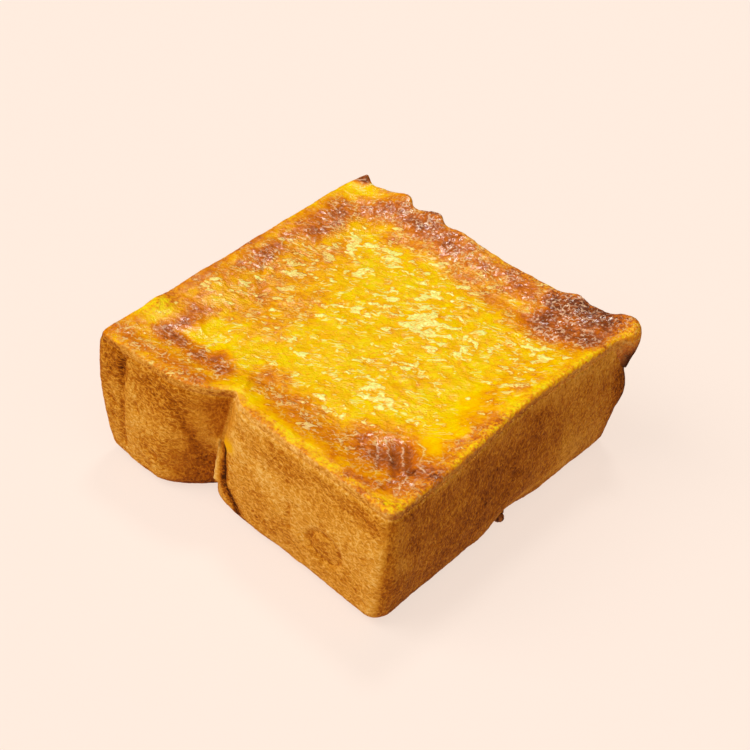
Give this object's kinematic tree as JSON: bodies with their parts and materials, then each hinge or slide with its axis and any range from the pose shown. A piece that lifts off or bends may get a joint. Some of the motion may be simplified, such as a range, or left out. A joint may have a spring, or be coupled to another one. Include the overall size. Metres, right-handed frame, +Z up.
{
  "type": "cheese toast",
  "caption": "Very thick slice of square sandwich loaf lying on its cut face, with a baked sheet of melted cheese over its top that laps over the crust rim at one corner.",
  "frame": {"origin": "on the surface that it lies on, under the middle of the whole toast's box", "axes": "+Z up from the cut face that it lies on to the cheese; -Y to the side with the two dough lobes and the cleft between them; +X to the plain side that the picture shows in shade; +Y to the side with the lumps of melted cheese"},
  "size_m": [0.1174, 0.1254, 0.0465],
  "materials": {
    "toasted_bread": "dry, finely wrinkled golden brown crust on the sides; toasted porous crumb underneath",
    "baked_cheese": "glossy wrinkled yellow skin with orange and brown baked patches"
  },
  "bodies": {
    "root": {"bread": "toasted_bread", "cheese": "baked_cheese"}
  },
  "joints": []
}
